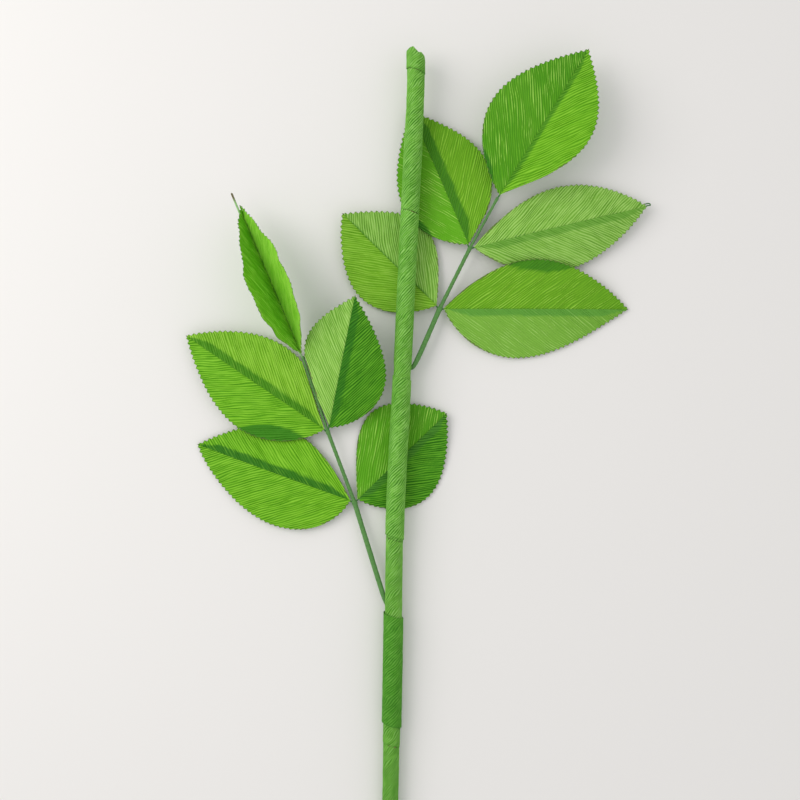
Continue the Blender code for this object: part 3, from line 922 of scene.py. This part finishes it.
# %% [markdown]
# ## Mixing finishes
# A finish is a small network of nodes. Two helpers keep it readable. A Link is a value coming
# out of a node, and plain arithmetic on it adds the Math nodes. A Finish is one material, and
# its add method makes any other node.

# %% Shader arithmetic
class Link:
    """A value that comes out of a shader node."""

    def __init__(self, finish, socket):
        self.finish = finish
        self.socket = socket

    def maths(self, operation, first, second):
        return self.finish.add("ShaderNodeMath", {"operation": operation}, {0: first, 1: second})

    def __add__(self, other):
        return self.maths("ADD", self, other)

    def __rsub__(self, other):
        return self.maths("SUBTRACT", other, self)

    def __mul__(self, other):
        return self.maths("MULTIPLY", self, other)

    __radd__ = __add__
    __rmul__ = __mul__


class Finish:
    """One material, with a Principled shader whose even settings are given by name."""

    def __init__(self, name, **settings):
        self.material = bpy.data.materials.new(name)
        self.material.use_nodes = True
        self.tree = self.material.node_tree
        self.shader = self.tree.nodes["Principled BSDF"]
        for socket, value in settings.items():
            self.shader.inputs[socket.replace("_", " ")].default_value = value

    def add(self, kind, settings=None, sockets=None, output=0):
        """Add a node: its settings first, then the values or links of its sockets."""
        node = self.tree.nodes.new(kind)
        for setting, value in (settings or {}).items():
            setattr(node, setting, value)
        for place, value in (sockets or {}).items():
            self.feed(node.inputs[place], value)
        return Link(self, node.outputs[output])

    def feed(self, socket, value):
        if isinstance(value, Link):
            self.tree.links.new(value.socket, socket)
        else:
            socket.default_value = value

    def remembered(self, name):
        """A number that the sheet remembers at each point."""
        return self.add("ShaderNodeAttribute", {"attribute_name": name}, output=2)

    def between(self, low, high, value):
        """0 below low, 1 above high, and even in between."""
        return self.add("ShaderNodeMapRange", None, {0: value, 1: low, 2: high, 3: 0.0, 4: 1.0})

    def mix(self, share, first, second):
        """A colour share of the way from first to second."""
        return self.add("ShaderNodeMix", {"data_type": "RGBA"}, {0: share, 6: first, 7: second},
                        output=2)

    def place(self):
        """Where each point of the surface is in the model."""
        return self.add("ShaderNodeTexCoord", output=3)

    def noise(self, place, scale, detail=2.0):
        return self.add("ShaderNodeTexNoise", None,
                        {"Vector": place, "Scale": scale, "Detail": detail})

    def streaks(self, across_scale, along_scale):
        """Noise drawn out along the wrinkles of a sheet of crepe."""
        across = self.remembered("grain_across") * across_scale
        along = self.remembered("grain_along") * along_scale
        return self.noise(self.add("ShaderNodeCombineXYZ", None, {0: across, 1: along}), 1.0, 3.0)

    def paint(self, colour):
        self.feed(self.shader.inputs["Base Color"], colour)

    def relief(self, strength, distance, height):
        """Raise the surface by a height that is seen only in its shading."""
        bump = self.add("ShaderNodeBump", None,
                        {"Strength": strength, "Distance": distance, "Height": height})
        self.feed(self.shader.inputs["Normal"], bump)


def green(red, green_share, blue):
    """A colour as painters' charts give it, 0 to 255, made linear for the shader."""
    linear = []
    for value in (red, green_share, blue):
        value = value / 255
        linear.append(value / 12.92 if value <= 0.04045 else ((value + 0.055) / 1.055) ** 2.4)
    return (*linear, 1.0)


print("a mid green, linear:", [round(v, 3) for v in green(110, 185, 45)])

# %% [markdown]
# ## The leaf paper
# The same green crepe looks different on every half, because some halves catch the light
# and look pale and a little blue, and others let it through and glow yellow-green. So each
# half is painted its own tone of one recipe, with that light painted in. The hollows get
# painted shade and the crests a painted highlight, cut edges are brownish, and double
# paper gets painted shade.

# %% The leaf finish
# A tone is the paper's green with its half's light painted in: crest is a painted highlight, and
# hollow a darker green used for painted shade, streaks and the tip.
Tone = namedtuple("Tone", "paper crest hollow")

TONES = {
    "pale": Tone(green(136, 190, 70), green(176, 218, 118), green(82, 142, 24)),
    "yellow": Tone(green(126, 186, 34), green(162, 212, 78), green(78, 142, 8)),
    "fresh": Tone(green(108, 178, 12), green(146, 208, 56), green(56, 130, 2)),
    "deep": Tone(green(68, 144, 4), green(116, 186, 44), green(24, 94, 1)),
    "lined": Tone(green(102, 176, 24), green(192, 236, 110), green(48, 124, 6)),
    "bright": Tone(green(128, 208, 30), green(176, 228, 90), green(70, 148, 8)),
}
CUT_EDGE = green(92, 100, 56)
# Painted shade where one leaflet lies over another.
PAINTED_OVERLAP_SHADE = green(44, 122, 20)


def dress(piece, material):
    piece.data.materials.clear()
    piece.data.materials.append(material)


def leaf_finish(name, tone, band, contrast):
    """Crepe in one tone, with its band's painted shade; contrast is how dark its streaks and the
    painted shade in its hollows are.
    """
    finish = Finish(name, Roughness=0.78, Specular_IOR_Level=0.25)
    crest = finish.remembered("crest")
    place = finish.place()
    streaks = finish.streaks(0.9, 0.07)
    blotches = finish.noise(place, 38.0, 2.0)

    streaked = finish.between(0.3, 0.7, streaks) * (0.5 * contrast)
    colour = finish.mix(streaked, tone.paper, tone.hollow)
    # Darker towards the tip.
    colour = finish.mix(finish.remembered("tip") * 0.35, colour, tone.hollow)
    # Painted highlight on the high crests of the wrinkles.
    colour = finish.mix(finish.between(0.6, 1.0, crest) * 0.75, colour, tone.crest)
    colour = finish.mix(finish.between(0.45, 0.75, blotches) * 0.07, colour, tone.crest)
    # The band over the glued flap is painted shade, a little lighter on the crests.
    painted_band_shade = finish.remembered("double") * (0.95 - finish.between(0.8, 1.0, crest) * 0.3)
    colour = finish.mix(painted_band_shade, colour, band)
    # Painted shade where this half lies over another leaflet.
    colour = finish.mix(finish.remembered("covers") * 0.85, colour, PAINTED_OVERLAP_SHADE)
    # Painted shade in the narrow hollows of the wrinkles.
    hollow = 1 - finish.between(0.15, 0.7, crest)
    colour = finish.mix(hollow * contrast, colour, tone.hollow)
    # A darker brownish line along the cut edge.
    darkened_cut_edge = 1 - finish.between(0.1, 0.9, finish.remembered("edge"))
    colour = finish.mix(darkened_cut_edge * 0.8, colour, CUT_EDGE)
    finish.paint(colour)

    fibres = finish.noise(place, 900.0, 3.0)
    finish.relief(0.35, 0.0003, streaks * 0.6 + fibres * 0.4)
    finish.feed(finish.shader.inputs["Roughness"], 0.70 + 0.16 * blotches)
    return finish.material


# %% Give every half its tone
# Each half's tone paints in the light it catches or lets through, and its depth sets how dark its
# streaks and the painted shade in its hollows are.
LEAF_TONES = {
    ("left_sprig", "lower_left"): ("fresh", "fresh", 0.6, 0.45),
    ("left_sprig", "lower_right"): ("lined", "deep", 0.3, 0.7),
    ("left_sprig", "upper_left"): ("fresh", "yellow", 0.65, 0.35),
    ("left_sprig", "upper_right"): ("pale", "deep", 0.5, 0.5),
    ("left_sprig", "tip"): ("bright", "bright", 0.5, 0.7),
    ("right_sprig", "lower_right"): ("yellow", "pale", 0.5, 0.3),
    ("right_sprig", "lower_left"): ("yellow", "pale", 0.4, 0.5),
    ("right_sprig", "upper_right"): ("pale", "pale", 0.55, 0.45),
    ("right_sprig", "upper_left"): ("lined", "yellow", 0.1, 0.55),
    ("right_sprig", "tip"): ("lined", "fresh", 0.5, 0.45),
}
for place, (left_tone, right_tone, left_depth, right_depth) in LEAF_TONES.items():
    band = green(*STRIPS[place].colour)
    for side, tone, depth in ((1, left_tone, left_depth), (-1, right_tone, right_depth)):
        half = halves[(*place, side)]
        dress(half, leaf_finish("crepe_" + half.name, TONES[tone], band, depth))
print("leaf finishes:", len(LEAF_TONES) * 2)

# %% [markdown]
# ## Stem, tape, wire and wood
# The stem's crepe is a bluer green. Its crests get a painted highlight and its hollows a deep
# painted shade, and the lower binding is a darker green. The tape is a greyish green whose
# laps have darker edges, the leaf wires are covered in thin green paper, and the rod is plain
# pale wood.

# %% The wound crepe
def wound_finish(name, paper, painted_crest_highlight, hollow):
    finish = Finish(name, Roughness=0.8, Specular_IOR_Level=0.2)
    crest = finish.remembered("crest")
    place = finish.place()
    streaks = finish.streaks(1.5, 0.16)
    blotches = finish.noise(place, 55.0, 3.0)
    colour = finish.mix(finish.between(0.3, 0.7, streaks) * 0.35, paper, hollow)
    # Painted highlight on the highest crests.
    colour = finish.mix(finish.between(0.75, 1.0, crest) * 0.5, colour, painted_crest_highlight)
    colour = finish.mix(finish.between(0.4, 0.75, blotches) * 0.25, colour, hollow)
    # Painted shade in the narrow hollows between the crests.
    colour = finish.mix((1 - finish.between(0.15, 0.75, crest)) * 0.9, colour, hollow)
    # Darker towards the foot of the stem.
    height = finish.add("ShaderNodeSeparateXYZ", None, {0: place}, output=1)
    foot, faded = [(level + SHIFT[1]) * MM for level in (150, 560)]
    colour = finish.mix((1 - finish.between(foot, faded, height)) * 0.4, colour, hollow)
    seam = 1 - finish.between(0.4, 2.0, finish.remembered("edge"))
    colour = finish.mix(seam * 0.35, colour, hollow)
    finish.paint(colour)
    fibres = finish.noise(place, 800.0, 3.0)
    finish.relief(0.35, 0.0003, streaks * 0.6 + fibres * 0.4)
    return finish.material


STEM_FINISH = wound_finish("stem_crepe", green(126, 192, 70), green(176, 220, 134),
                           green(50, 116, 20))
BINDING_FINISH = wound_finish("binding_crepe", green(92, 166, 44), green(134, 196, 86),
                              green(36, 100, 14))
for node, strip in stem_pieces.items():
    dress(strip, BINDING_FINISH if node == "left_sprig_binding" else STEM_FINISH)
print("wound pieces:", len(stem_pieces))

# %% The tape, the wires and the rod
tape_finish = Finish("stalk_tape", Roughness=0.7, Specular_IOR_Level=0.3)
tape_grain = tape_finish.noise(tape_finish.place(), 500.0, 3.0)
lap_edge = tape_finish.between(0.82, 0.98, tape_finish.remembered("lap"))
tape_colour = tape_finish.mix(tape_grain, green(66, 116, 54), green(106, 156, 84))
tape_colour = tape_finish.mix(lap_edge * 0.6, tape_colour, green(40, 78, 34))
tape_finish.paint(tape_colour)
tape_finish.relief(0.3, 0.0002, tape_grain)
for tape in tapes:
    dress(tape, tape_finish.material)

BARE_WIRE_END = 848.0


def wire_finish(name, covered, bare):
    """Paper-covered wire, green along the leaf and brown past its end."""
    finish = Finish(name, Roughness=0.65, Specular_IOR_Level=0.3)
    place = finish.place()
    height = finish.add("ShaderNodeSeparateXYZ", None, {0: place}, output=1)
    mottle = finish.noise(place, 700.0, 3.0)
    end = (BARE_WIRE_END + SHIFT[1]) * MM
    past_end = finish.between(end - 0.003, end + 0.003, height)
    colour = finish.mix(past_end, covered, bare)
    colour = finish.mix(mottle * 0.5, colour, green(40, 84, 36))
    finish.paint(colour)
    finish.relief(0.25, 0.0002, mottle)
    return finish.material


GREEN_WIRE = wire_finish("green_covered_wire", green(64, 122, 58), green(64, 122, 58))
TIP_WIRE = wire_finish("pale_covered_wire", green(158, 208, 132), green(116, 98, 62))

wood = Finish("pale_rod_wood", Roughness=0.6, Specular_IOR_Level=0.3)
wood_map = wood.add("ShaderNodeMapping", None, {0: wood.place(), 3: (220.0, 12.0, 220.0)})
wood_grain = wood.noise(wood_map, 3.0, 4.0)
wood_colour = wood.mix(wood_grain, green(214, 180, 132), green(164, 124, 80))
wood.paint(wood_colour)
wood.relief(0.3, 0.0003, wood_grain)

for place, wire in wires.items():
    dress(wire, TIP_WIRE if place == FOLDED_SHUT else GREEN_WIRE)
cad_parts["stem_core"].data.materials[0] = wood.material
print("finished the tape, the wires and the rod")

# %% [markdown]
# ## A place to look at it
# The stem lies on a pale floor, and the camera looks straight down on its upper part. A
# large soft light stands to the upper left, with a weaker one opposite, so the wrinkles cast
# small shadows and the floor stays bright.

# %% Floor, lights and camera
VIEW_CENTRE = (9.0, 650.0)
VIEW_HEIGHT = 1111.1
VIEW_LEVEL = 16.0


def at(x, y, z):
    return Vector(placed((x, y, z)))


nothing_selected()
bpy.ops.mesh.primitive_plane_add(size=12.0, location=at(0, 500, -0.6))
floor = bpy.context.object
floor.name = "floor"
plain = Finish("pale_floor", Base_Color=green(236, 233, 229), Roughness=0.9)
floor.data.materials.append(plain.material)
floor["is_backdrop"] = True


def soft_light(name, place, target, size, power, colour):
    lamp = bpy.data.lights.new(name, "AREA")
    lamp.shape = "SQUARE"
    lamp.size = size
    lamp.energy = power
    lamp.color = colour
    stand = bpy.data.objects.new(name, lamp)
    stand.location = place
    stand.rotation_euler = (target - place).to_track_quat("-Z", "Y").to_euler()
    bpy.context.scene.collection.objects.link(stand)


middle = at(10, 620, 0)
soft_light("key_light", at(-1250, 1150, 1150), middle, size=1.3, power=14.0,
           colour=(1.0, 0.99, 0.97))
soft_light("fill_light", at(1300, 100, 1500), middle, size=2.2, power=2.0,
           colour=(0.98, 0.99, 1.0))

world = bpy.data.worlds.new("soft_room")
world.use_nodes = True
sky = world.node_tree.nodes["Background"].inputs
sky["Color"].default_value = (0.97, 0.98, 1.0, 1.0)
sky["Strength"].default_value = 0.74
bpy.context.scene.world = world
bpy.context.scene.view_settings.view_transform = "Standard"

view = bpy.data.cameras.new("camera")
view.lens = 50.0
view.sensor_width = 36.0
camera = bpy.data.objects.new("camera", view)
camera.location = at(VIEW_CENTRE[0], VIEW_CENTRE[1], VIEW_LEVEL + VIEW_HEIGHT)
bpy.context.scene.collection.objects.link(camera)
bpy.context.scene.camera = camera
print("camera above", VIEW_CENTRE)

# %% [markdown]
# ## Sizes at the end
# The finished paper should fill the same space as the plain solids it stands for, so both
# boxes are printed and kept.

# %% Keep the sizes and finish
made_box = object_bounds()
sizes = {"cad": [list(corner) for corner in cad_box],
         "visual": [list(corner) for corner in made_box]}
for label, (low, high) in sizes.items():
    print(label, [round((b - a) / MM, 1) for a, b in zip(low, high)], "mm")
